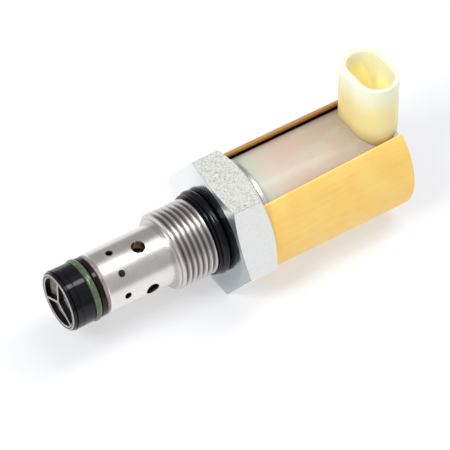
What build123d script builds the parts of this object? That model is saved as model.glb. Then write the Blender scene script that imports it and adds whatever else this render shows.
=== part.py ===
from build123d import *
import math
import os

os.makedirs("parts", exist_ok=True)

# A screw-in cartridge valve with its solenoid coil. X runs along the valve's axis,
# from the nose at -X to the coil at +X, and +Z is up. The origin is on the axis, in
# the hexagon's seating face. A flat of the hexagon faces down. Stations are X.

# Valve body: M20 x 1.5 shank, 32 mm hexagon, rear boss
THREAD_RADIUS = 10.0
THREAD_PITCH = 1.5
THREAD_DEPTH = 0.9
THREAD_CREST = 0.3
THREAD_FRONT = -13.9
THREAD_REAR = -3.1
UNDERCUT_RADIUS = 8.75
HEX_FLATS = 32.0
HEX_LENGTH = 9.6
BOSS_RADIUS = 11.0
BOSS_REAR = 10.5

# Ported sleeve
SLEEVE_RADIUS = 7.9
SLEEVE_FRONT = -32.15
SPIGOT_RADIUS = 5.8
SPIGOT_FRONT = -35.0
PRESS_RADIUS = 7.0
SLEEVE_REAR = -4.0
BORE_RADIUS = 5.0
BORE_REAR = -8.0
PILOT_RADIUS = 1.2
SMALL_PORT = {"station": -27.47, "radius": 0.9, "count": 8, "first": 35.3}
LARGE_PORT = {"station": -20.54, "radius": 1.75, "count": 4, "first": 5.0}

# Nose
NOSE_FRONT = -42.4
NOSE_RADIUS = 7.75
CAP_FRONT = -42.2
CAP_REAR = -32.95
GUARD_RADIUS = 7.3
GUARD_BORE = 6.65
GUARD_REAR = -40.85
SCREEN_REAR = -40.6
PASSAGE_RADIUS = 4.9
SPOKE_WIDTH = 0.55
SPOKE_COUNT = 3
SPOKE_FIRST = 85.0
NOSE_SEAL_STATION = -35.4
NOSE_SEAL_SECTION = 0.88
NOSE_SEAL_RADIUS = 8.1

# Spool and pilot stage
SPOOL_FRONT = -29.5
SPOOL_REAR = -13.2
SPOOL_RADIUS = 4.97
SPRING_POCKET_REAR = -19.0
FILTER_POCKET_REAR = -24.0
FILTER_RADIUS = 2.6
SEAT_RADIUS = 6.0
SEAT_REAR = 0.5
SEAT_HOLE_RADIUS = 0.8
POPPET_RADIUS = 1.5
POPPET_REAR = 7.0
PIN_RADIUS = 1.0

# Core tube and what it holds
TUBE_FRONT = 2.0
TUBE_REAR = 44.0
TUBE_RADIUS = 6.5
TUBE_BORE = 5.5
POLE_REAR = 20.0
SHIM_THICKNESS = 0.15
ARMATURE_FRONT = 21.0
ARMATURE_REAR = 40.8
ARMATURE_RADIUS = 5.42
ARMATURE_POCKET_REAR = 25.0
PLUG_FRONT = 41.0
STUD_FRONT = 50.6
STUD_REAR = 54.6
STUD_RADIUS = 5.0
STUD_PITCH = 1.0

# Coil, which is clamped at an angle of its own about the axis
COIL_LEAN = 6.0
COIL_BORE = 6.65
WASHER_FRONT = 10.6
BOBBIN_FRONT = 11.8
BOBBIN_REAR = 49.4
PLATE_REAR = 51.0
PLATE_RADIUS = 14.0
BOBBIN_WALL = 7.6
BOBBIN_FLANGE = 1.5
BOBBIN_RADIUS = 12.3
WINDING_RADIUS = 11.9
COVER_BORE = 12.4
COVER_RADIUS = 13.2
SHELL_FRONT = 9.8
SHELL_REAR = 51.2
SHELL_RADIUS = 15.2
SHELL_BORE = 14.05
WINDOW_LEFT = 9.2
WINDOW_RIGHT_FRONT = 9.5
WINDOW_RIGHT_REAR = 8.6

# Connector, measured in the coil's leaning frame
CONNECTOR_STATION = 47.2
CONNECTOR_TOP = 29.0
CONNECTOR_BASE = 10.0
CONNECTOR_WIDTH = 12.3
CONNECTOR_LENGTH = 16.7
CONNECTOR_CORNER = 5.3
SOCKET_STATION = 47.25
SOCKET_OFFSET = -0.4
SOCKET_WIDTH = 8.9
SOCKET_LENGTH = 14.2
SOCKET_DEPTH = 13.5
SOCKET_DRAFT = 1.0
NECK_FRONT = 43.2
NECK_REAR = 48.7
NECK_HALF_WIDTH = 4.0
NECK_BOTTOM = 12.35
TERMINAL_STATION = 47.9
TERMINAL_OFFSET = 2.0
TERMINAL_RADIUS = 0.7
TERMINAL_TOP = 20.6

lean = math.radians(COIL_LEAN)
coil_up = Plane(origin=(0, 0, 0), x_dir=(1, 0, 0), z_dir=(0, math.sin(lean), math.cos(lean)))
coil_axis = Axis((0, 0, 0), (0, math.sin(lean), math.cos(lean)))
coil_across = Plane(origin=(0, 0, 0), x_dir=(0, math.cos(lean), -math.sin(lean)), z_dir=(1, 0, 0))


def section(*outline):
    """The flat section of a turned piece, from its (station, radius) corners."""
    with BuildSketch(Plane.XZ) as flat:
        with BuildLine():
            Polyline(*outline, close=True)
        make_face()
    return flat.sketch


def ring_section(front, rear, bore, radius, edge=0.0):
    """The section of a plain ring with its two outer edges broken."""
    if edge == 0.0:
        return section((front, bore), (front, radius), (rear, radius), (rear, bore))
    return section(
        (front, bore),
        (front, radius - edge),
        (front + edge, radius),
        (rear - edge, radius),
        (rear, radius - edge),
        (rear, bore),
    )


def groove_section(crest_width, pitch, depth, flank_root):
    """The V of a thread's groove, in a plane square to the helix at its crest."""
    half_mouth = (pitch - crest_width) / 2
    flank = (half_mouth - flank_root) / depth
    overshoot = 0.1
    with BuildSketch() as vee:
        with BuildLine():
            Polyline(
                (-half_mouth - flank * overshoot, overshoot),
                (half_mouth + flank * overshoot, overshoot),
                (flank_root, -depth),
                (-flank_root, -depth),
                close=True,
            )
        make_face()
    return vee.sketch


def radial_planes(station, first, count):
    """Planes on the axis that face outward, evenly spaced from an angle off +Z."""
    planes = []
    for step in range(count):
        angle = math.radians(first + 360 * step / count)
        outward = (0, -math.sin(angle), math.cos(angle))
        planes.append(Plane(origin=(station, 0, 0), x_dir=(1, 0, 0), z_dir=outward))
    return planes


# Valve body
HEX_CORNER = HEX_FLATS / 2 / math.cos(math.pi / 6)
REAR_CHAMFER = (HEX_CORNER - HEX_FLATS / 2) * math.tan(math.pi / 6)
FRONT_CHAMFER_RADIUS = 15.2
FRONT_CHAMFER = 0.65

with BuildPart() as valve_body:
    with BuildSketch(Plane.YZ):
        RegularPolygon(HEX_FLATS / 2, 6, major_radius=False)
    extrude(amount=HEX_LENGTH)
    revolve(
        section(
            (0, 0),
            (0, FRONT_CHAMFER_RADIUS),
            (FRONT_CHAMFER, HEX_CORNER),
            (HEX_LENGTH - REAR_CHAMFER, HEX_CORNER),
            (HEX_LENGTH, HEX_FLATS / 2),
            (HEX_LENGTH, 0),
        ),
        axis=Axis.X,
        mode=Mode.INTERSECT,
    )
    revolve(
        section(
            (THREAD_FRONT, 0),
            (THREAD_FRONT, THREAD_RADIUS - 0.85),
            (THREAD_FRONT + 0.85, THREAD_RADIUS),
            (THREAD_REAR, THREAD_RADIUS),
            (THREAD_REAR, UNDERCUT_RADIUS),
            (0, UNDERCUT_RADIUS),
            (0, 0),
        ),
        axis=Axis.X,
    )
    revolve(ring_section(HEX_LENGTH, BOSS_REAR, 0, BOSS_RADIUS), axis=Axis.X)
    revolve(
        section(
            (THREAD_FRONT, 0),
            (THREAD_FRONT, PRESS_RADIUS),
            (SLEEVE_REAR, PRESS_RADIUS),
            (SLEEVE_REAR, SEAT_RADIUS),
            (TUBE_FRONT, SEAT_RADIUS),
            (TUBE_FRONT, TUBE_RADIUS),
            (9.0, TUBE_RADIUS),
            (9.0, 8.3),
            (BOSS_REAR, 8.3),
            (BOSS_REAR, 0),
        ),
        axis=Axis.X,
        mode=Mode.SUBTRACT,
    )
    with BuildLine() as thread_helix:
        Helix(
            THREAD_PITCH,
            THREAD_REAR - THREAD_FRONT + 1.2 * THREAD_PITCH,
            THREAD_RADIUS,
            center=(THREAD_FRONT - 0.8 * THREAD_PITCH, 0, 0),
            direction=(1, 0, 0),
        )
    thread_start = Plane(
        origin=thread_helix.line @ 0, x_dir=(1, 0, 0), z_dir=thread_helix.line % 0
    )
    sweep(
        thread_start * groove_section(THREAD_CREST, THREAD_PITCH, THREAD_DEPTH, 0.12),
        path=thread_helix.line,
        is_frenet=True,
        mode=Mode.SUBTRACT,
    )
valve_body.part.label = "valve_body"
export_step(valve_body.part, "parts/valve_body.step")

# Ported sleeve, pressed into the body
with BuildPart() as valve_sleeve:
    revolve(
        section(
            (SPIGOT_FRONT, BORE_RADIUS),
            (SPIGOT_FRONT, SPIGOT_RADIUS - 0.2),
            (SPIGOT_FRONT + 0.2, SPIGOT_RADIUS),
            (SLEEVE_FRONT, SPIGOT_RADIUS),
            (SLEEVE_FRONT, SLEEVE_RADIUS - 0.25),
            (SLEEVE_FRONT + 0.25, SLEEVE_RADIUS),
            (THREAD_FRONT, SLEEVE_RADIUS),
            (THREAD_FRONT, PRESS_RADIUS),
            (SLEEVE_REAR, PRESS_RADIUS),
            (SLEEVE_REAR, PILOT_RADIUS),
            (BORE_REAR, PILOT_RADIUS),
            (BORE_REAR, BORE_RADIUS),
        ),
        axis=Axis.X,
    )
    revolve(ring_section(-30.4, -29.6, BORE_RADIUS, 5.4), axis=Axis.X, mode=Mode.SUBTRACT)
    for port in (SMALL_PORT, LARGE_PORT):
        with BuildSketch(*radial_planes(port["station"], port["first"], port["count"])):
            Circle(port["radius"])
        extrude(amount=SLEEVE_RADIUS + 1, mode=Mode.SUBTRACT)
valve_sleeve.part.label = "valve_sleeve"
export_step(valve_sleeve.part, "parts/valve_sleeve.step")

# Nose cap: two thin lips at the front, a groove for the nose seal
SEAL_GROOVE_FRONT = NOSE_SEAL_STATION - 1.05
SEAL_GROOVE_REAR = NOSE_SEAL_STATION + 1.05
SEAL_GROOVE_RADIUS = NOSE_SEAL_RADIUS - 2 * NOSE_SEAL_SECTION - 0.02

with BuildPart() as nose_cap:
    revolve(
        section(
            (CAP_FRONT, GUARD_BORE),
            (CAP_FRONT, NOSE_RADIUS - 0.35),
            (CAP_FRONT + 0.2, NOSE_RADIUS - 0.15),
            (CAP_FRONT + 0.5, NOSE_RADIUS - 0.1),
            (CAP_FRONT + 0.6, NOSE_RADIUS - 0.35),
            (CAP_FRONT + 0.8, NOSE_RADIUS - 0.35),
            (CAP_FRONT + 0.95, NOSE_RADIUS + 0.05),
            (CAP_FRONT + 2.2, NOSE_RADIUS + 0.05),
            (CAP_FRONT + 2.35, NOSE_RADIUS - 0.2),
            (CAP_FRONT + 2.55, NOSE_RADIUS - 0.2),
            (CAP_FRONT + 2.75, NOSE_RADIUS),
            (SEAL_GROOVE_FRONT - 0.15, NOSE_RADIUS),
            (SEAL_GROOVE_FRONT, NOSE_RADIUS - 0.15),
            (SEAL_GROOVE_FRONT, SEAL_GROOVE_RADIUS),
            (SEAL_GROOVE_REAR, SEAL_GROOVE_RADIUS),
            (SEAL_GROOVE_REAR, NOSE_RADIUS - 0.15),
            (SEAL_GROOVE_REAR + 0.15, NOSE_RADIUS),
            (CAP_REAR - 0.35, NOSE_RADIUS),
            (CAP_REAR, NOSE_RADIUS - 0.35),
            (CAP_REAR, SPIGOT_RADIUS),
            (SPIGOT_FRONT, SPIGOT_RADIUS),
            (SPIGOT_FRONT, PASSAGE_RADIUS),
            (SCREEN_REAR, PASSAGE_RADIUS),
            (SCREEN_REAR, GUARD_BORE),
        ),
        axis=Axis.X,
    )
nose_cap.part.label = "nose_cap"
export_step(nose_cap.part, "parts/nose_cap.step")

# Nose guard: flanged ring with three thin spokes
with BuildPart() as nose_guard:
    revolve(
        section(
            (NOSE_FRONT, GUARD_BORE - 0.1),
            (NOSE_FRONT, GUARD_RADIUS - 0.12),
            (NOSE_FRONT + 0.12, GUARD_RADIUS),
            (CAP_FRONT, GUARD_RADIUS),
            (CAP_FRONT, GUARD_BORE),
            (GUARD_REAR, GUARD_BORE),
            (GUARD_REAR, GUARD_BORE - 0.4),
            (CAP_FRONT, GUARD_BORE - 0.4),
        ),
        axis=Axis.X,
    )
    with BuildSketch(Plane.YZ.offset(NOSE_FRONT + 0.05)):
        with PolarLocations(0, SPOKE_COUNT, start_angle=SPOKE_FIRST):
            Rectangle(GUARD_BORE - 0.2, SPOKE_WIDTH, align=(Align.MIN, Align.CENTER))
    extrude(amount=GUARD_REAR - NOSE_FRONT - 0.05)
nose_guard.part.label = "nose_guard"
export_step(nose_guard.part, "parts/nose_guard.step")

# Inlet screen: perforated disc behind the spokes
with BuildPart() as inlet_screen:
    with BuildSketch(Plane.YZ.offset(GUARD_REAR)):
        Circle(GUARD_BORE)
        with HexLocations(0.5, 9, 9):
            Circle(0.18, mode=Mode.SUBTRACT)
    extrude(amount=SCREEN_REAR - GUARD_REAR)
inlet_screen.part.label = "inlet_screen"
export_step(inlet_screen.part, "parts/inlet_screen.step")

# Nose seals
with BuildPart() as nose_oring:
    with Locations((NOSE_SEAL_STATION, 0, 0)):
        Torus(NOSE_SEAL_RADIUS - NOSE_SEAL_SECTION, NOSE_SEAL_SECTION, rotation=(0, 90, 0))
nose_oring.part.label = "nose_oring"
export_step(nose_oring.part, "parts/nose_oring.step")

with BuildPart() as nose_backup_ring:
    revolve(ring_section(CAP_REAR, SLEEVE_FRONT, SPIGOT_RADIUS, 7.7, 0.12), axis=Axis.X)
nose_backup_ring.part.label = "nose_backup_ring"
export_step(nose_backup_ring.part, "parts/nose_backup_ring.step")

# Body seals, in the undercut against the hexagon
BODY_SEAL_SECTION = 1.15
BODY_SEAL_RADIUS = 11.1

with BuildPart() as body_oring:
    with Locations((-BODY_SEAL_SECTION - 0.02, 0, 0)):
        Torus(BODY_SEAL_RADIUS - BODY_SEAL_SECTION, BODY_SEAL_SECTION, rotation=(0, 90, 0))
body_oring.part.label = "body_oring"
export_step(body_oring.part, "parts/body_oring.step")

with BuildPart() as body_backup_ring:
    revolve(ring_section(-3.05, -2.4, UNDERCUT_RADIUS, 10.6, 0.15), axis=Axis.X)
body_backup_ring.part.label = "body_backup_ring"
export_step(body_backup_ring.part, "parts/body_backup_ring.step")

# Spool stop: open snap ring in the sleeve's groove
with BuildPart() as spool_stop_ring:
    revolve(ring_section(-30.35, -29.65, 4.1, 5.4), axis=Axis.X)
    with BuildSketch(Plane.YZ.offset(-31)):
        with Locations((0, -4.8)):
            Rectangle(2.2, 2.4)
    extrude(amount=2, mode=Mode.SUBTRACT)
spool_stop_ring.part.label = "spool_stop_ring"
export_step(spool_stop_ring.part, "parts/spool_stop_ring.step")

# Spool: two annular grooves, three pressure-balance grooves, control orifice
with BuildPart() as spool:
    revolve(ring_section(SPOOL_FRONT, SPOOL_REAR, 0, SPOOL_RADIUS, 0.2), axis=Axis.X)
    revolve(ring_section(-28.9, -26.0, 4.4, 6), axis=Axis.X, mode=Mode.SUBTRACT)
    revolve(ring_section(-23.2, -17.9, 4.2, 6), axis=Axis.X, mode=Mode.SUBTRACT)
    for station in (-16.9, -15.7, -14.5):
        revolve(ring_section(station, station + 0.3, 4.75, 6), axis=Axis.X, mode=Mode.SUBTRACT)
    revolve(
        section(
            (SPOOL_FRONT, 0),
            (SPOOL_FRONT, FILTER_RADIUS),
            (FILTER_POCKET_REAR, FILTER_RADIUS),
            (FILTER_POCKET_REAR, 0.4),
            (SPRING_POCKET_REAR, 0.4),
            (SPRING_POCKET_REAR, 3.2),
            (SPOOL_REAR, 3.2),
            (SPOOL_REAR, 0),
        ),
        axis=Axis.X,
        mode=Mode.SUBTRACT,
    )
spool.part.label = "spool"
export_step(spool.part, "parts/spool.step")

# Edge filter in the spool's nose: slots open in turn at the front and at the rear
SLOT_COUNT = 10
SLOT_LENGTH = 4.4

with BuildPart() as edge_filter:
    revolve(ring_section(SPOOL_FRONT + 0.1, FILTER_POCKET_REAR, 0, FILTER_RADIUS), axis=Axis.X)
    with BuildSketch(Plane.YZ.offset(SPOOL_FRONT + 0.1)):
        with PolarLocations(FILTER_RADIUS, SLOT_COUNT // 2):
            Rectangle(0.8, 0.4)
    extrude(amount=SLOT_LENGTH, mode=Mode.SUBTRACT)
    with BuildSketch(Plane.YZ.offset(FILTER_POCKET_REAR)):
        with PolarLocations(FILTER_RADIUS, SLOT_COUNT // 2, start_angle=360 / SLOT_COUNT):
            Rectangle(0.8, 0.4)
    extrude(amount=-SLOT_LENGTH, mode=Mode.SUBTRACT)
edge_filter.part.label = "edge_filter"
export_step(edge_filter.part, "parts/edge_filter.step")


def wire_helix(front, rear, mean_radius, wire_radius, turns):
    """The centre line of a compression spring between two stations."""
    length = rear - front - 2 * wire_radius
    with BuildLine() as line:
        Helix(
            length / turns,
            length,
            mean_radius,
            center=(front + wire_radius, 0, 0),
            direction=(1, 0, 0),
        )
    return line.line


SPOOL_SPRING_WIRE = 0.35
spool_spring_line = wire_helix(SPRING_POCKET_REAR + 0.05, BORE_REAR - 0.05, 2.6, SPOOL_SPRING_WIRE, 6)
with BuildPart() as spool_spring:
    with BuildSketch(Plane(origin=spool_spring_line @ 0, z_dir=spool_spring_line % 0)):
        Circle(SPOOL_SPRING_WIRE)
    sweep(path=spool_spring_line, is_frenet=True)
spool_spring.part.label = "spool_spring"
export_step(spool_spring.part, "parts/spool_spring.step")

# Poppet seat and poppet, both coned at 45 degrees
SEAT_CONE_DEPTH = 0.8

with BuildPart() as poppet_seat:
    revolve(
        section(
            (SLEEVE_REAR, PILOT_RADIUS),
            (SLEEVE_REAR, SEAT_RADIUS),
            (SEAT_REAR, SEAT_RADIUS),
            (SEAT_REAR, SEAT_HOLE_RADIUS + SEAT_CONE_DEPTH),
            (SEAT_REAR - SEAT_CONE_DEPTH, SEAT_HOLE_RADIUS),
            (SLEEVE_REAR + 2, SEAT_HOLE_RADIUS),
            (SLEEVE_REAR + 2, PILOT_RADIUS),
        ),
        axis=Axis.X,
    )
poppet_seat.part.label = "poppet_seat"
export_step(poppet_seat.part, "parts/poppet_seat.step")

POPPET_TIP = -0.23
with BuildPart() as poppet:
    revolve(
        section(
            (POPPET_TIP, 0),
            (POPPET_TIP + POPPET_RADIUS, POPPET_RADIUS),
            (POPPET_REAR - 0.2, POPPET_RADIUS),
            (POPPET_REAR, POPPET_RADIUS - 0.2),
            (POPPET_REAR, 0),
        ),
        axis=Axis.X,
    )
poppet.part.label = "poppet"
export_step(poppet.part, "parts/poppet.step")

PIN_REAR = 30.0
with BuildPart() as push_pin:
    revolve(ring_section(POPPET_REAR + 0.05, PIN_REAR, 0, PIN_RADIUS, 0.15), axis=Axis.X)
push_pin.part.label = "push_pin"
export_step(push_pin.part, "parts/push_pin.step")

# Core tube, pole piece, shim, armature, armature spring, tube plug
with BuildPart() as core_tube:
    revolve(ring_section(TUBE_FRONT, TUBE_REAR, TUBE_BORE, TUBE_RADIUS), axis=Axis.X)
core_tube.part.label = "core_tube"
export_step(core_tube.part, "parts/core_tube.step")

with BuildPart() as pole_piece:
    revolve(
        section(
            (TUBE_FRONT, POPPET_RADIUS + 0.05),
            (TUBE_FRONT, TUBE_BORE),
            (POLE_REAR - 0.4, TUBE_BORE),
            (POLE_REAR, TUBE_BORE - 0.4),
            (POLE_REAR, PIN_RADIUS + 0.05),
            (POPPET_REAR + 1, PIN_RADIUS + 0.05),
            (POPPET_REAR + 1, POPPET_RADIUS + 0.05),
        ),
        axis=Axis.X,
    )
pole_piece.part.label = "pole_piece"
export_step(pole_piece.part, "parts/pole_piece.step")

with BuildPart() as pole_shim:
    revolve(ring_section(POLE_REAR, POLE_REAR + SHIM_THICKNESS, 3.2, 4.9), axis=Axis.X)
pole_shim.part.label = "pole_shim"
export_step(pole_shim.part, "parts/pole_shim.step")

with BuildPart() as armature:
    revolve(
        section(
            (ARMATURE_FRONT, 3.0),
            (ARMATURE_FRONT, ARMATURE_RADIUS - 0.3),
            (ARMATURE_FRONT + 0.3, ARMATURE_RADIUS),
            (ARMATURE_REAR - 0.3, ARMATURE_RADIUS),
            (ARMATURE_REAR, ARMATURE_RADIUS - 0.3),
            (ARMATURE_REAR, 0),
            (PIN_REAR, 0),
            (PIN_REAR, PIN_RADIUS),
            (ARMATURE_POCKET_REAR, PIN_RADIUS),
            (ARMATURE_POCKET_REAR, 3.0),
        ),
        axis=Axis.X,
    )
    with BuildSketch(Plane.YZ.offset(ARMATURE_FRONT)):
        with PolarLocations(ARMATURE_RADIUS, 2):
            Rectangle(1.6, 1.0)
    extrude(amount=ARMATURE_REAR - ARMATURE_FRONT, mode=Mode.SUBTRACT)
armature.part.label = "armature"
export_step(armature.part, "parts/armature.step")

RETURN_SPRING_WIRE = 0.25
return_line = wire_helix(POLE_REAR + 0.03, ARMATURE_POCKET_REAR - 0.03, 2.4, RETURN_SPRING_WIRE, 4)
with BuildPart() as armature_spring:
    with BuildSketch(Plane(origin=return_line @ 0, z_dir=return_line % 0)):
        Circle(RETURN_SPRING_WIRE)
    sweep(path=return_line, is_frenet=True)
armature_spring.part.label = "armature_spring"
export_step(armature_spring.part, "parts/armature_spring.step")

with BuildPart() as tube_plug:
    revolve(
        section(
            (PLUG_FRONT, 0),
            (PLUG_FRONT, TUBE_BORE),
            (TUBE_REAR, TUBE_BORE),
            (TUBE_REAR, TUBE_RADIUS),
            (STUD_FRONT - 0.3, TUBE_RADIUS),
            (STUD_FRONT, TUBE_RADIUS - 0.3),
            (STUD_FRONT, STUD_RADIUS - 0.7),
            (STUD_FRONT + 0.8, STUD_RADIUS - 0.7),
            (STUD_FRONT + 0.8, STUD_RADIUS),
            (STUD_REAR - 0.6, STUD_RADIUS),
            (STUD_REAR, STUD_RADIUS - 0.6),
            (STUD_REAR, 0),
        ),
        axis=Axis.X,
    )
    with BuildLine() as stud_helix:
        Helix(
            STUD_PITCH,
            STUD_REAR - STUD_FRONT + 0.7 * STUD_PITCH,
            STUD_RADIUS,
            center=(STUD_FRONT + 0.1 * STUD_PITCH, 0, 0),
            direction=(1, 0, 0),
        )
    stud_start = Plane(origin=stud_helix.line @ 0, x_dir=(1, 0, 0), z_dir=stud_helix.line % 0)
    sweep(
        stud_start * groove_section(0.25, STUD_PITCH, 0.55, 0.08),
        path=stud_helix.line,
        is_frenet=True,
        mode=Mode.SUBTRACT,
    )
tube_plug.part.label = "tube_plug"
export_step(tube_plug.part, "parts/tube_plug.step")

# Retaining nut, which clamps the coil
NUT_FRONT = 51.05
NUT_REAR = 53.9
NUT_FLATS = 13.0
NUT_FLANGE_RADIUS = 8.0
NUT_CORNER = NUT_FLATS / 2 / math.cos(math.pi / 6)

with BuildPart() as retaining_nut:
    with BuildSketch(Plane.YZ.offset(NUT_FRONT)):
        RegularPolygon(NUT_FLATS / 2, 6, major_radius=False)
    extrude(amount=NUT_REAR - NUT_FRONT)
    revolve(
        section(
            (NUT_FRONT, 0),
            (NUT_FRONT, NUT_CORNER),
            (NUT_REAR - 0.5, NUT_CORNER),
            (NUT_REAR, NUT_FLATS / 2),
            (NUT_REAR, 0),
        ),
        axis=Axis.X,
        mode=Mode.INTERSECT,
    )
    revolve(ring_section(NUT_FRONT, NUT_FRONT + 0.8, 0, NUT_FLANGE_RADIUS, 0.2), axis=Axis.X)
    revolve(
        ring_section(NUT_FRONT, NUT_REAR, 0, STUD_RADIUS),
        axis=Axis.X,
        mode=Mode.SUBTRACT,
    )
retaining_nut.part.label = "retaining_nut"
export_step(retaining_nut.part, "parts/retaining_nut.step")

# Coil seals
with BuildPart() as front_coil_seal:
    with Locations((9.76, 0, 0)):
        Torus(7.35, 0.72, rotation=(0, 90, 0))
front_coil_seal.part.label = "front_coil_seal"
export_step(front_coil_seal.part, "parts/front_coil_seal.step")

PLATE_RECESS_RADIUS = 7.8
PLATE_RECESS_DEPTH = 1.0
with BuildPart() as rear_coil_seal:
    with Locations((PLATE_REAR - 0.48, 0, 0)):
        Torus(7.2, 0.45, rotation=(0, 90, 0))
rear_coil_seal.part.label = "rear_coil_seal"
export_step(rear_coil_seal.part, "parts/rear_coil_seal.step")

# Coil: flux washer, bobbin, winding, cover, rear plate, yoke shell
with BuildPart() as front_flux_washer:
    revolve(
        ring_section(WASHER_FRONT, BOBBIN_FRONT, COIL_BORE, PLATE_RADIUS, 0.2), axis=Axis.X
    )
front_flux_washer.part.label = "front_flux_washer"
export_step(front_flux_washer.part, "parts/front_flux_washer.step")

with BuildPart() as bobbin:
    revolve(
        section(
            (BOBBIN_FRONT, COIL_BORE),
            (BOBBIN_FRONT, BOBBIN_RADIUS),
            (BOBBIN_FRONT + BOBBIN_FLANGE, BOBBIN_RADIUS),
            (BOBBIN_FRONT + BOBBIN_FLANGE, BOBBIN_WALL),
            (BOBBIN_REAR - BOBBIN_FLANGE, BOBBIN_WALL),
            (BOBBIN_REAR - BOBBIN_FLANGE, BOBBIN_RADIUS),
            (BOBBIN_REAR, BOBBIN_RADIUS),
            (BOBBIN_REAR, COIL_BORE),
        ),
        axis=Axis.X,
    )
bobbin.part.label = "bobbin"
export_step(bobbin.part, "parts/bobbin.step")

with BuildPart() as winding:
    revolve(
        ring_section(
            BOBBIN_FRONT + BOBBIN_FLANGE, BOBBIN_REAR - BOBBIN_FLANGE, BOBBIN_WALL, WINDING_RADIUS
        ),
        axis=Axis.X,
    )
winding.part.label = "winding"
export_step(winding.part, "parts/winding.step")

NECK_MIDDLE = (NECK_FRONT + NECK_REAR) / 2
NECK_LENGTH = NECK_REAR - NECK_FRONT

with BuildPart() as coil_cover:
    revolve(ring_section(BOBBIN_FRONT, BOBBIN_REAR, COVER_BORE, COVER_RADIUS), axis=Axis.X)
    with BuildSketch(coil_up):
        with Locations((NECK_MIDDLE, 0)):
            Rectangle(NECK_LENGTH, 2 * NECK_HALF_WIDTH)
    extrude(amount=COVER_RADIUS + 1, mode=Mode.SUBTRACT)
coil_cover.part.label = "coil_cover"
export_step(coil_cover.part, "parts/coil_cover.step")

with BuildPart() as rear_flux_plate:
    revolve(
        section(
            (BOBBIN_REAR, COIL_BORE),
            (BOBBIN_REAR, PLATE_RADIUS),
            (PLATE_REAR - 0.2, PLATE_RADIUS),
            (PLATE_REAR, PLATE_RADIUS - 0.2),
            (PLATE_REAR, PLATE_RECESS_RADIUS),
            (PLATE_REAR - PLATE_RECESS_DEPTH, PLATE_RECESS_RADIUS),
            (PLATE_REAR - PLATE_RECESS_DEPTH, COIL_BORE),
        ),
        axis=Axis.X,
    )
rear_flux_plate.part.label = "rear_flux_plate"
export_step(rear_flux_plate.part, "parts/rear_flux_plate.step")

# The shell's window narrows a little towards the rear
with BuildPart() as yoke_shell:
    with BuildSketch(coil_across.offset(SHELL_FRONT)):
        Circle(SHELL_RADIUS)
        Circle(SHELL_BORE, mode=Mode.SUBTRACT)
    extrude(amount=SHELL_REAR - SHELL_FRONT)
    with BuildSketch(coil_up):
        with BuildLine():
            Polyline(
                (SHELL_FRONT, WINDOW_LEFT),
                (SHELL_REAR, WINDOW_LEFT),
                (SHELL_REAR, -WINDOW_RIGHT_REAR),
                (SHELL_FRONT, -WINDOW_RIGHT_FRONT),
                close=True,
            )
        make_face()
    extrude(amount=SHELL_RADIUS + 1, mode=Mode.SUBTRACT)
    fillet(yoke_shell.edges(), 0.35)
yoke_shell.part.label = "yoke_shell"
export_step(yoke_shell.part, "parts/yoke_shell.step")

# Connector housing: a tower that sits on the cover, with a neck through its slot, one
# square corner at the rear left and a drafted socket
with BuildPart() as connector_housing:
    with BuildSketch(coil_up.offset(CONNECTOR_BASE)):
        with Locations((CONNECTOR_STATION, 0)):
            SlotOverall(CONNECTOR_LENGTH, CONNECTOR_WIDTH, rotation=90)
            Rectangle(
                CONNECTOR_WIDTH / 2, CONNECTOR_CORNER, align=(Align.MIN, Align.MIN)
            )
    extrude(amount=CONNECTOR_TOP - CONNECTOR_BASE)
    fillet(connector_housing.edges().group_by(coil_axis)[-1], 0.3)
    revolve(ring_section(30, BOBBIN_REAR, 0, COVER_RADIUS), axis=Axis.X, mode=Mode.SUBTRACT)
    revolve(
        ring_section(BOBBIN_REAR, 60, 0, PLATE_RADIUS + 0.05), axis=Axis.X, mode=Mode.SUBTRACT
    )
    with BuildSketch(coil_up.offset(NECK_BOTTOM)):
        with Locations((NECK_MIDDLE, 0)):
            Rectangle(NECK_LENGTH, 2 * NECK_HALF_WIDTH)
    extrude(amount=2)
    with BuildSketch(coil_up.offset(CONNECTOR_TOP)):
        with Locations((SOCKET_STATION, SOCKET_OFFSET)):
            SlotOverall(SOCKET_LENGTH, SOCKET_WIDTH, rotation=90)
    extrude(amount=-SOCKET_DEPTH, taper=SOCKET_DRAFT, mode=Mode.SUBTRACT)
    with BuildSketch(coil_up.offset(NECK_BOTTOM)):
        with Locations((TERMINAL_STATION, TERMINAL_OFFSET), (TERMINAL_STATION, -TERMINAL_OFFSET)):
            Circle(TERMINAL_RADIUS)
    extrude(amount=TERMINAL_TOP - NECK_BOTTOM, mode=Mode.SUBTRACT)
connector_housing.part.label = "connector_housing"
export_step(connector_housing.part, "parts/connector_housing.step")


def terminal(side):
    """A round contact pin with a rounded tip, on one side of the socket's middle."""
    with BuildPart() as pin:
        with BuildSketch(coil_up.offset(NECK_BOTTOM)):
            with Locations((TERMINAL_STATION, side * TERMINAL_OFFSET)):
                Circle(TERMINAL_RADIUS)
        extrude(amount=TERMINAL_TOP - NECK_BOTTOM)
        fillet(pin.edges().group_by(coil_axis)[-1], 0.45)
    return pin


terminal_pin_left = terminal(1)
terminal_pin_left.part.label = "terminal_pin_left"
export_step(terminal_pin_left.part, "parts/terminal_pin_left.step")

terminal_pin_right = terminal(-1)
terminal_pin_right.part.label = "terminal_pin_right"
export_step(terminal_pin_right.part, "parts/terminal_pin_right.step")
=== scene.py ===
import math

import bpy
from mathutils import Matrix, Vector


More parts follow.
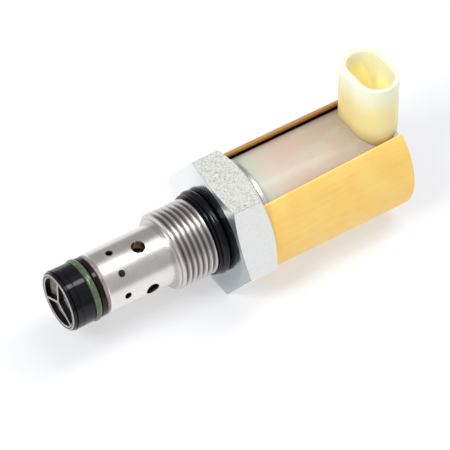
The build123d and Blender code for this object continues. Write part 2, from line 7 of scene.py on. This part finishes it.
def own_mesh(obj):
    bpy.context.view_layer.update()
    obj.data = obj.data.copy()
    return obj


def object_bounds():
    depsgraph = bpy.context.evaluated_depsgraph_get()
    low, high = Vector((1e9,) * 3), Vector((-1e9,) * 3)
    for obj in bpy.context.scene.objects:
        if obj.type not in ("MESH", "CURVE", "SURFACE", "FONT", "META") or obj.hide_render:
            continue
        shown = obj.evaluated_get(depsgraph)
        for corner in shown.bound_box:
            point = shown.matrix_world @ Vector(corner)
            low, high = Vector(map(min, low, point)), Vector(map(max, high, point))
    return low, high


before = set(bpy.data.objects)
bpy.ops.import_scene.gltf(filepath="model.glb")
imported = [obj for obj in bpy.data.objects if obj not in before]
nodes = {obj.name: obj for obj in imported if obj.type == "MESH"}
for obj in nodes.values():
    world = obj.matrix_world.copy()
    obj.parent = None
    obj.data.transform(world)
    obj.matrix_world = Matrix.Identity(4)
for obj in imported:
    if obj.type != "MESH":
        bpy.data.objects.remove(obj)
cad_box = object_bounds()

MM = 0.001
scene = bpy.context.scene

# The valve's own measures, in millimetres: X along its axis from nose to coil, Z up
HEXAGON_FRONT = 0.0
HEXAGON_TOP = 16.0
CHAMFER_RADIUS = 15.2
SLEEVE_RADIUS = 7.9
NOSE_FRONT = -42.4
GUARD_BORE = 6.65

# How far X rises for each millimetre of radius on the hexagon's front chamfer
CHAMFER_SLOPE = 0.2

# Where colours change, in the same millimetres, painted shade and painted glow among them. These are
# limits of a tint, not sizes of a part
ROOT_SHADE_FRONT = -12.5
ROOT_SHADE_REAR = -3.3
ROOT_SHADE_OUTER = 9.8
ROOT_SHADE_INNER = 9.3
BLACK_RIM_RADIUS = 6.9
COVER_TINT_FRONT = 13.0
COVER_TINT_LENGTH = 40.0
YOKE_SHADE_RADIUS = 14.4
SOCKET_GLOW_MIDDLE = (47.3, 2.3)
SOCKET_GLOW_REACH = (4.5, 7.2)

# Spacing of the screen's woven wires and of the winding's turns, in millimetres
WEAVE_PITCH = 0.32
WIRE_PITCH = 0.4

# Camera: the point it looks at and its distance in millimetres, its angles in degrees
LOOK_AT = (4.5695, -0.8334, 0.0)
DISTANCE = 731.245
AZIMUTH = -126.3603
ELEVATION = 51.8197
ROLL = 4.2609
LENS = 240.0


class Surface:
    """A procedural material, built up from shader nodes in the object's own metres."""

    def __init__(self, name, **sockets):
        self.material = bpy.data.materials.new(name)
        self.material.use_nodes = True
        self.tree = self.material.node_tree
        self.shader = self.tree.nodes["Principled BSDF"]
        for socket, value in sockets.items():
            self.shader.inputs[socket.replace("_", " ")].default_value = value
        self.place = self.add("ShaderNodeTexCoord").outputs["Object"]

    def add(self, kind, **settings):
        node = self.tree.nodes.new(kind)
        for name, value in settings.items():
            setattr(node, name, value)
        return node

    def feed(self, socket, value):
        """Sets a socket to a number or colour, or joins an output to it."""
        if isinstance(value, bpy.types.NodeSocket):
            self.tree.links.new(value, socket)
        else:
            socket.default_value = value

    def drive(self, socket, value):
        self.feed(self.shader.inputs[socket], value)

    def math(self, operation, *values):
        node = self.add("ShaderNodeMath", operation=operation)
        for socket, value in zip(node.inputs, values):
            self.feed(socket, value)
        return node.outputs[0]

    def plus(self, first, second):
        return self.math("ADD", first, second)

    def minus(self, first, second):
        return self.math("SUBTRACT", first, second)

    def times(self, first, second):
        return self.math("MULTIPLY", first, second)

    def mixed(self, first, second, share):
        """The two values blended, with share of the second."""
        return self.math("MULTIPLY_ADD", second, share, self.times(first, 1 - share))

    def axis(self, name):
        """One coordinate of the point, in millimetres."""
        split = self.add("ShaderNodeSeparateXYZ")
        self.feed(split.inputs[0], self.place)
        return self.times(split.outputs[name], 1 / MM)

    def radius(self):
        """Distance from the valve's axis, in millimetres."""
        y, z = self.axis("Y"), self.axis("Z")
        return self.math("SQRT", self.plus(self.times(y, y), self.times(z, z)))

    def step(self, value, none, full):
        """0 at none and beyond, 1 at full and beyond, smooth between. Either may be the larger."""
        node = self.add("ShaderNodeMapRange", interpolation_type="SMOOTHSTEP")
        for socket, number in (("Value", value), ("From Min", none), ("From Max", full)):
            self.feed(node.inputs[socket], number)
        return node.outputs["Result"]

    def noise(self, size, stretch=(1, 1, 1), detail=3.0, roughness=0.55):
        """Noise with features about size millimetres across, stretched along the axes."""
        mapping = self.add("ShaderNodeMapping")
        self.feed(mapping.inputs["Vector"], self.place)
        mapping.inputs["Scale"].default_value = [1 / (size * MM * s) for s in stretch]
        texture = self.add("ShaderNodeTexNoise")
        self.feed(texture.inputs["Vector"], mapping.outputs["Vector"])
        texture.inputs["Scale"].default_value = 1.0
        texture.inputs["Detail"].default_value = detail
        texture.inputs["Roughness"].default_value = roughness
        return texture.outputs["Fac"]

    def turning(self, size):
        """Fine uneven rings round the valve's axis, about size millimetres across, as from a lathe."""
        combine = self.add("ShaderNodeCombineXYZ")
        self.feed(combine.inputs["X"], self.math("DIVIDE", self.axis("X"), size))
        self.feed(combine.inputs["Y"], self.math("DIVIDE", self.radius(), size))
        texture = self.add("ShaderNodeTexNoise")
        self.feed(texture.inputs["Vector"], combine.outputs["Vector"])
        texture.inputs["Scale"].default_value = 1.0
        texture.inputs["Detail"].default_value = 4.0
        return texture.outputs["Fac"]

    def waves(self, name, pitch):
        """A sine wave along one axis, with its pitch in millimetres."""
        return self.math("SINE", self.times(self.axis(name), 2 * math.pi / pitch))

    def ramp(self, factor, *stops):
        """Colour along a ramp of (position, colour) stops."""
        node = self.add("ShaderNodeValToRGB")
        self.feed(node.inputs["Fac"], factor)
        elements = node.color_ramp.elements
        while len(elements) < len(stops):
            elements.new(0.5)
        for element, (position, colour) in zip(elements, stops):
            element.position = position
            element.color = (*colour, 1.0)
        return node.outputs["Color"]

    def blend(self, factor, first, second):
        """first where factor is 0, second where it is 1."""
        node = self.add("ShaderNodeMix", data_type="RGBA")
        self.feed(node.inputs["Factor"], factor)
        for socket, colour in ((node.inputs["A"], first), (node.inputs["B"], second)):
            value = colour
            if isinstance(colour, tuple):
                value = (*colour, 1.0)
            self.feed(socket, value)
        return node.outputs["Result"]

    def span(self, factor, low, high):
        """A number from low to high as factor goes from 0 to 1."""
        node = self.add("ShaderNodeMapRange")
        for socket, number in (("Value", factor), ("To Min", low), ("To Max", high)):
            self.feed(node.inputs[socket], number)
        return node.outputs["Result"]

    def bump(self, height, depth):
        """Bump whose height runs over depth millimetres."""
        node = self.add("ShaderNodeBump")
        node.inputs["Strength"].default_value = 1.0
        node.inputs["Distance"].default_value = depth * MM
        self.feed(node.inputs["Height"], height)
        self.drive("Normal", node.outputs["Normal"])


def seat_mask(s, x, hexagon):
    """1 on the hexagon's flat front face and on the chamfer round it."""
    face = s.times(s.step(x, HEXAGON_FRONT + 0.06, HEXAGON_FRONT + 0.01), hexagon)
    beyond = s.minus(s.radius(), CHAMFER_RADIUS)
    behind_chamfer = s.math("MULTIPLY_ADD", beyond, -CHAMFER_SLOPE, x)
    chamfer = s.times(s.step(behind_chamfer, 0.12, 0.05), hexagon)
    return s.math("MAXIMUM", face, chamfer)


def hexagon_colour(s, seat, grain):
    """Speckled top flat, plain other flats, and a seat with a painted reflection that goes from
    blue-grey towards -Y to silver towards +Y.
    """
    top = s.step(s.axis("Z"), HEXAGON_TOP - 0.4, HEXAGON_TOP - 0.1)
    speckle = s.ramp(
        grain,
        (0.36, (0.34, 0.35, 0.32)),
        (0.46, (0.68, 0.69, 0.64)),
        (0.62, (0.82, 0.83, 0.79)),
    )
    smooth = s.ramp(grain, (0.3, (0.86, 0.87, 0.85)), (0.65, (0.97, 0.98, 0.96)))
    # Painted reflection on the seat: blue-grey towards -Y, silver towards +Y, along a ragged line.
    side = s.plus(s.axis("Y"), s.times(s.noise(6.0), 6.0))
    seat_painted_reflection = s.blend(s.step(side, -6.0, 15.0), (0.48, 0.53, 0.55), (0.88, 0.9, 0.9))
    return s.blend(seat, s.blend(top, smooth, speckle), seat_painted_reflection)


def shank_colour(s, x, rings):
    """Turned steel, with painted shade darkening it down in the thread."""
    steel = s.ramp(rings, (0.3, (0.58, 0.55, 0.54)), (0.7, (0.76, 0.73, 0.72)))
    # Painted shade down in the thread's roots, between the ROOT_SHADE limits.
    behind_front = s.step(x, ROOT_SHADE_FRONT - 0.1, ROOT_SHADE_FRONT + 0.1)
    before_rear = s.step(x, ROOT_SHADE_REAR + 0.1, ROOT_SHADE_REAR - 0.1)
    deep = s.step(s.radius(), ROOT_SHADE_OUTER, ROOT_SHADE_INNER)
    root = s.times(deep, s.times(behind_front, before_rear))
    return s.blend(root, steel, (0.36, 0.33, 0.32))


def body_steel():
    """Hexagon with a polished seat, on a bright turned shank."""
    s = Surface("body_steel")
    x = s.axis("X")
    hexagon = s.step(x, HEXAGON_FRONT - 0.35, HEXAGON_FRONT - 0.25)
    seat = seat_mask(s, x, hexagon)
    flats = s.minus(hexagon, seat)
    grain = s.noise(0.36, detail=4.0, roughness=0.72)
    rings = s.turning(0.35)
    s.drive("Base Color", s.blend(hexagon, shank_colour(s, x, rings), hexagon_colour(s, seat, grain)))
    s.drive("Metallic", s.math("MULTIPLY_ADD", flats, -0.25, 1.0))
    rough_hexagon = s.math("MULTIPLY_ADD", seat, -0.36, s.span(grain, 0.46, 0.6))
    rough_shank = s.span(rings, 0.26, 0.38)
    change = s.minus(rough_hexagon, rough_shank)
    s.drive("Roughness", s.math("MULTIPLY_ADD", change, hexagon, rough_shank))
    s.bump(s.math("MULTIPLY_ADD", rings, 0.2, s.times(grain, flats)), 0.05)
    return s.material


def sleeve_steel():
    """Ground steel with the faintest turning rings, with a painted warm reflection and painted shade,
    dark brown, below its outer surface, as on the walls of the holes.
    """
    s = Surface("sleeve_steel", Metallic=1.0)
    rings = s.turning(0.5)
    worn = s.mixed(rings, s.noise(5.0), 0.7)
    steel = s.ramp(worn, (0.3, (0.74, 0.72, 0.7)), (0.7, (0.84, 0.82, 0.8)))
    # Painted warm reflection and shade: dark brown below the outer surface, on the walls of the holes.
    painted_inner_shading = s.step(s.radius(), SLEEVE_RADIUS - 0.3, SLEEVE_RADIUS - 0.7)
    s.drive("Base Color", s.blend(painted_inner_shading, steel, (0.3, 0.17, 0.08)))
    s.drive("Roughness", s.span(worn, 0.24, 0.32))
    s.bump(rings, 0.004)
    return s.material


def plain_steel(name, dark, light, roughness):
    """Turned metal of one tone, for rings, plates and inner pieces."""
    s = Surface(name, Metallic=1.0)
    rings = s.turning(0.3)
    worn = s.mixed(rings, s.noise(2.5), 0.4)
    s.drive("Base Color", s.ramp(worn, (0.3, dark), (0.7, light)))
    s.drive("Roughness", s.span(worn, roughness - 0.06, roughness + 0.08))
    s.bump(rings, 0.01)
    return s.material


def guard_steel():
    """Pale outer rim and spoke fronts, black on the rim's inner part, and painted shade, black, on all
    that lies further back.
    """
    s = Surface("guard_steel", Metallic=0.6)
    worn = s.noise(0.8)
    radius = s.radius()
    outside_bore = s.step(radius, GUARD_BORE - 0.1, GUARD_BORE + 0.05)
    within = s.step(radius, BLACK_RIM_RADIUS + 0.05, BLACK_RIM_RADIUS - 0.05)
    inner_rim = s.times(outside_bore, within)
    # Painted shade: everything behind the guard's front face, such as the spokes' sides, is black.
    behind = s.step(s.axis("X"), NOSE_FRONT + 0.1, NOSE_FRONT + 0.25)
    pale = s.ramp(worn, (0.3, (0.36, 0.35, 0.35)), (0.7, (0.56, 0.54, 0.53)))
    s.drive("Base Color", s.blend(s.math("MAXIMUM", behind, inner_rim), pale, (0.006, 0.006, 0.006)))
    s.drive("Roughness", s.span(worn, 0.32, 0.46))
    s.bump(worn, 0.01)
    return s.material


def woven_screen():
    """Fine wire cloth, stained by oil in patches."""
    s = Surface("woven_screen", Metallic=0.6)
    weave = s.span(s.times(s.waves("Y", WEAVE_PITCH), s.waves("Z", WEAVE_PITCH)), 0.0, 1.0)
    stain = s.noise(3.0)
    tone = s.ramp(stain, (0.35, (0.22, 0.19, 0.16)), (0.65, (0.72, 0.66, 0.58)))
    s.drive("Base Color", s.blend(s.times(weave, 0.35), tone, (0.1, 0.08, 0.06)))
    s.drive("Roughness", s.span(stain, 0.35, 0.5))
    s.bump(weave, 0.05)
    return s.material


def gloss_black(name, roughness, tint, level):
    """Black moulding or rubber with a shine that varies a little."""
    s = Surface(name, Specular_IOR_Level=level)
    cloud = s.noise(2.0)
    fine = s.noise(0.25, detail=2.0)
    s.drive("Base Color", s.ramp(cloud, (0.3, tint), (0.7, tuple(1.6 * c for c in tint))))
    s.drive("Roughness", s.span(fine, roughness - 0.03, roughness + 0.05))
    s.bump(s.mixed(cloud, fine, 0.3), 0.02)
    return s.material


def rubber(name, dark, light, roughness):
    """Moulded rubber with a slight bloom."""
    s = Surface(name)
    cloud = s.noise(1.2)
    s.drive("Base Color", s.ramp(cloud, (0.3, dark), (0.7, light)))
    s.drive("Roughness", s.span(cloud, roughness - 0.05, roughness + 0.08))
    s.bump(s.noise(0.2), 0.015)
    return s.material


def cover_skin():
    """Pearly varnished tape: grey-green by the hexagon, pinkish in the middle, then beige."""
    s = Surface("cover_skin", Coat_Weight=0.25, Coat_Roughness=0.2, Specular_IOR_Level=0.3)
    ragged = s.plus(s.axis("X"), s.times(s.noise(6.0), 6.0))
    along = s.ramp(
        s.math("DIVIDE", s.minus(ragged, COVER_TINT_FRONT), COVER_TINT_LENGTH),
        (0.0, (0.3, 0.42, 0.32)),
        (0.07, (0.52, 0.56, 0.45)),
        (0.17, (0.64, 0.52, 0.42)),
        (0.3, (0.62, 0.45, 0.36)),
        (0.6, (0.55, 0.43, 0.32)),
        (1.0, (0.52, 0.41, 0.27)),
    )
    cloud = s.noise(3.5, stretch=(1.8, 1, 1))
    pearl = s.step(s.noise(3.5, stretch=(1.6, 1, 1)), 0.5, 0.66)
    patchy = s.blend(s.times(pearl, 0.5), along, (0.54, 0.54, 0.43))
    s.drive("Base Color", s.blend(s.span(cloud, 0.0, 0.3), patchy, (0.64, 0.55, 0.47)))
    s.drive("Roughness", s.span(cloud, 0.38, 0.5))
    s.bump(s.noise(0.6, detail=2.0), 0.006)
    return s.material


def gold_plating():
    """Yellow-plated steel, faintly brushed lengthwise, with painted shade, brown, on its bore and the
    inner part of its ends, and high on its +Y side.
    """
    s = Surface("gold_plating", Metallic=0.3)
    streaks = s.noise(0.7, stretch=(16, 1, 1))
    brushed = s.mixed(streaks, s.noise(8.0), 0.6)
    gold = s.ramp(
        brushed,
        (0.3, (0.96, 0.6, 0.14)),
        (0.5, (1.0, 0.66, 0.18)),
        (0.7, (1.0, 0.73, 0.26)),
    )
    # Painted shade: brown on the bore and the inner part of the ends.
    painted_inner_shading = s.step(s.radius(), YOKE_SHADE_RADIUS + 0.2, YOKE_SHADE_RADIUS - 0.2)
    # Painted shade: brown high on the +Y side.
    high = s.step(s.axis("Z"), 8.0, 10.5)
    shaded_plus_y_side = s.step(s.axis("Y"), 6.0, 9.0)
    outside = s.blend(s.times(high, shaded_plus_y_side), gold, (0.5, 0.25, 0.06))
    s.drive("Base Color", s.blend(painted_inner_shading, outside, (0.42, 0.2, 0.06)))
    s.drive("Roughness", s.span(brushed, 0.42, 0.52))
    s.bump(streaks, 0.004)
    return s.material


def socket_glow_mask(s, height):
    """Where the socket's painted glow goes: 0 at the socket's mouth, growing to 1 with depth, and 0
    outside its walls.
    """
    squares = []
    for name, middle, reach in zip("XY", SOCKET_GLOW_MIDDLE, SOCKET_GLOW_REACH):
        share = s.math("DIVIDE", s.minus(s.axis(name), middle), reach)
        squares.append(s.times(share, share))
    return s.times(s.step(s.plus(*squares), 1.05, 0.95), s.step(height, 27.0, 20.0))


def cream_nylon():
    """Translucent moulded nylon, warmer by the root, with painted light: bright yellow down in the
    socket, and a faint glow all over that is stronger there.
    """
    s = Surface("cream_nylon", Subsurface_Weight=0.7, Subsurface_Scale=3.0 * MM, Specular_IOR_Level=0.3)
    s.shader.inputs["Subsurface Radius"].default_value = (1.0, 0.9, 0.5)
    cloud = s.noise(5.0)
    height = s.axis("Z")
    pale = s.ramp(cloud, (0.3, (0.84, 0.85, 0.64)), (0.7, (0.88, 0.89, 0.72)))
    by_root = s.step(height, 17.0, 12.0)
    lower = s.blend(by_root, (0.88, 0.74, 0.36), (0.74, 0.55, 0.24))
    below_mouth = s.step(height, 28.0, 20.0)
    forward = s.step(s.axis("X"), 54.0, 49.0)
    yellowed = s.times(below_mouth, forward)
    # Painted light: the socket's depths are painted bright yellow.
    painted_inner_shading = socket_glow_mask(s, height)
    colour = s.blend(painted_inner_shading, s.blend(yellowed, pale, lower), (0.99, 0.87, 0.46))
    s.drive("Base Color", colour)
    # Painted light: the housing glows faintly all over, and more down in the socket.
    s.drive("Emission Color", colour)
    s.drive("Emission Strength", s.span(painted_inner_shading, 0.04, 0.2))
    s.drive("Roughness", s.span(cloud, 0.36, 0.48))
    s.bump(s.noise(0.4, detail=2.0), 0.008)
    return s.material


def contact_metal():
    """Tinned contact with painted shade: dark all over, as it sits deep in the socket."""
    s = Surface("contact_metal", Metallic=0.9)
    cloud = s.noise(0.5)
    # Painted shade: the tinned metal is made dark.
    s.drive("Base Color", s.ramp(cloud, (0.3, (0.1, 0.09, 0.06)), (0.7, (0.3, 0.27, 0.2))))
    s.drive("Roughness", s.span(cloud, 0.3, 0.45))
    s.bump(cloud, 0.01)
    return s.material


def copper_wire():
    """Layer-wound enamelled wire."""
    s = Surface("copper_wire", Metallic=0.9)
    cloud = s.noise(2.0)
    s.drive("Base Color", s.ramp(cloud, (0.3, (0.4, 0.14, 0.05)), (0.7, (0.6, 0.26, 0.1))))
    s.drive("Roughness", s.span(cloud, 0.28, 0.4))
    s.bump(s.span(s.waves("X", WIRE_PITCH), 0.0, 1.0), 0.1)
    return s.material


def paint(material, *names):
    """Gives each named CAD node one material."""
    for name in names:
        slots = nodes[name].data.materials
        slots.clear()
        slots.append(material)


def paint_metal():
    inner = plain_steel("inner_steel", (0.45, 0.43, 0.41), (0.62, 0.6, 0.57), 0.3)
    iron = plain_steel("soft_iron", (0.36, 0.36, 0.36), (0.5, 0.5, 0.5), 0.36)
    washer = plain_steel("washer_steel", (0.7, 0.7, 0.7), (0.85, 0.85, 0.84), 0.26)
    spring = plain_steel("spring_steel", (0.4, 0.4, 0.4), (0.6, 0.6, 0.6), 0.3)
    brass = plain_steel("shim_brass", (0.6, 0.42, 0.16), (0.78, 0.58, 0.26), 0.3)
    paint(body_steel(), "valve_body")
    paint(sleeve_steel(), "valve_sleeve")
    paint(inner, "spool", "poppet_seat", "poppet", "push_pin", "core_tube", "tube_plug", "retaining_nut")
    paint(iron, "pole_piece", "armature")
    paint(washer, "front_flux_washer", "rear_flux_plate")
    paint(spring, "spool_spring", "armature_spring", "spool_stop_ring", "edge_filter")
    paint(brass, "pole_shim")
    paint(guard_steel(), "nose_guard")
    paint(woven_screen(), "inlet_screen")
    paint(gold_plating(), "yoke_shell")
    paint(contact_metal(), "terminal_pin_left", "terminal_pin_right")
    paint(copper_wire(), "winding")


def paint_plastic_and_rubber():
    nose = gloss_black("black_nose", 0.08, (0.002, 0.002, 0.003), 0.3)
    seal = gloss_black("black_rubber", 0.14, (0.002, 0.002, 0.003), 0.26)
    backup = gloss_black("black_backup", 0.18, (0.002, 0.002, 0.003), 0.26)
    bobbin = gloss_black("bobbin_plastic", 0.4, (0.02, 0.02, 0.022), 0.35)
    green = rubber("green_rubber", (0.06, 0.085, 0.045), (0.13, 0.16, 0.1), 0.16)
    tan = rubber("tan_backup", (0.22, 0.15, 0.13), (0.4, 0.31, 0.28), 0.3)
    paint(nose, "nose_cap")
    paint(seal, "body_oring", "front_coil_seal", "rear_coil_seal")
    paint(backup, "body_backup_ring")
    paint(bobbin, "bobbin")
    paint(green, "nose_oring")
    paint(tan, "nose_backup_ring")
    paint(cover_skin(), "coil_cover")
    paint(cream_nylon(), "connector_housing")


def shorten_springs():
    """Gives each spring a mesh of its own."""
    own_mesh(nodes["spool_spring"])
    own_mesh(nodes["armature_spring"])


def floor_material():
    """White sheet lit evenly from below, so that shadows on it stay light."""
    s = Surface("paper_floor", Specular_IOR_Level=0.0)
    cloud = s.noise(60.0)
    s.drive("Base Color", s.ramp(cloud, (0.2, (0.42, 0.425, 0.44)), (0.8, (0.44, 0.445, 0.46))))
    s.drive("Roughness", s.span(cloud, 0.8, 0.9))
    s.shader.inputs["Emission Color"].default_value = (1.0, 1.0, 1.0, 1.0)
    s.shader.inputs["Emission Strength"].default_value = 0.5
    return s.material


def make_floor():
    """A pale sheet under the hexagon's lower flat."""
    level = cad_box[0].z - 0.02 * MM
    half = 4.0
    mesh = bpy.data.meshes.new("floor")
    corners = [(-half, -half, level), (half, -half, level), (half, half, level), (-half, half, level)]
    mesh.from_pydata(corners, [], [(0, 1, 2, 3)])
    floor = bpy.data.objects.new("floor", mesh)
    scene.collection.objects.link(floor)
    mesh.materials.append(floor_material())


def soft_box(name, where, size, power):
    """A rectangular light that faces the origin, with its place and size in metres."""
    light = bpy.data.lights.new(name, "AREA")
    light.shape = "RECTANGLE"
    light.size, light.size_y = size
    light.energy = power
    lamp = bpy.data.objects.new(name, light)
    scene.collection.objects.link(lamp)
    lamp.location = where
    lamp.rotation_euler = (-Vector(where)).to_track_quat("-Z", "Y").to_euler()


def surroundings():
    """Pale walls, greyer towards +Y, with a bright strip of ceiling and two narrow grey panels.

    A band is its start and end, then its tone at each. Start and end are shares of a full turn
    about the X axis: 0 is straight down, 0.25 is -Y, 0.5 is overhead and 0.75 is +Y.
    """
    bands = (
        (0.0, 0.26, 0.9, 0.9),
        (0.275, 0.29, 0.66, 0.66),
        (0.3, 0.4, 0.8, 0.82),
        (0.42, 0.5, 0.98, 1.0),
        (0.51, 0.575, 1.25, 1.25),
        (0.583, 0.594, 0.5, 0.5),
        (0.605, 1.0, 0.62, 0.66),
    )
    world = bpy.data.worlds.new("studio")
    world.use_nodes = True
    tree = world.node_tree
    place = tree.nodes.new("ShaderNodeTexCoord")
    split = tree.nodes.new("ShaderNodeSeparateXYZ")
    turn = tree.nodes.new("ShaderNodeMath")
    turn.operation = "ARCTAN2"
    share = tree.nodes.new("ShaderNodeMapRange")
    share.inputs["From Min"].default_value = -math.pi
    share.inputs["From Max"].default_value = math.pi
    ramp = tree.nodes.new("ShaderNodeValToRGB")
    background = tree.nodes["Background"]
    background.inputs["Strength"].default_value = 0.6
    for start, end in (
        (place.outputs["Generated"], split.inputs[0]),
        (split.outputs["Y"], turn.inputs[0]),
        (split.outputs["Z"], turn.inputs[1]),
        (turn.outputs[0], share.inputs["Value"]),
        (share.outputs["Result"], ramp.inputs["Fac"]),
        (ramp.outputs["Color"], background.inputs["Color"]),
    ):
        tree.links.new(start, end)
    stops = [stop for a, b, tone_a, tone_b in bands for stop in ((a, tone_a), (b, tone_b))]
    elements = ramp.color_ramp.elements
    while len(elements) < len(stops):
        elements.new(0.5)
    for element, (position, tone) in zip(elements, stops):
        element.position = position
        element.color = (tone, tone, 1.01 * tone, 1.0)
    scene.world = world


def light_studio():
    """A large soft box overhead and a smaller one by the nose, inside pale surroundings."""
    soft_box("key", (0.39, 0.02, 0.98), (0.25, 0.8), 4.2)
    soft_box("front", (-0.62, -0.12, 0.78), (0.3, 0.3), 5.0)
    surroundings()


def make_camera():
    """A long lens above and in front of the nose, turned a few degrees about its line of sight."""
    azimuth, elevation = math.radians(AZIMUTH), math.radians(ELEVATION)
    level = math.cos(elevation)
    away = Vector((level * math.cos(azimuth), level * math.sin(azimuth), math.sin(elevation)))
    place = (Vector(LOOK_AT) + DISTANCE * away) * MM
    upright = away.to_track_quat("Z", "Y").to_matrix().to_4x4()
    data = bpy.data.cameras.new("camera")
    data.sensor_width = 36.0
    data.lens = LENS
    data.clip_start = 0.05
    data.clip_end = 20.0
    camera = bpy.data.objects.new("camera", data)
    scene.collection.objects.link(camera)
    turned = Matrix.Rotation(math.radians(ROLL), 4, "Z")
    camera.matrix_world = Matrix.Translation(place) @ upright @ turned
    scene.camera = camera


scene.view_settings.view_transform = "Standard"
paint_metal()
paint_plastic_and_rubber()
shorten_springs()
make_floor()
light_studio()
make_camera()

bpy.context.view_layer.update()
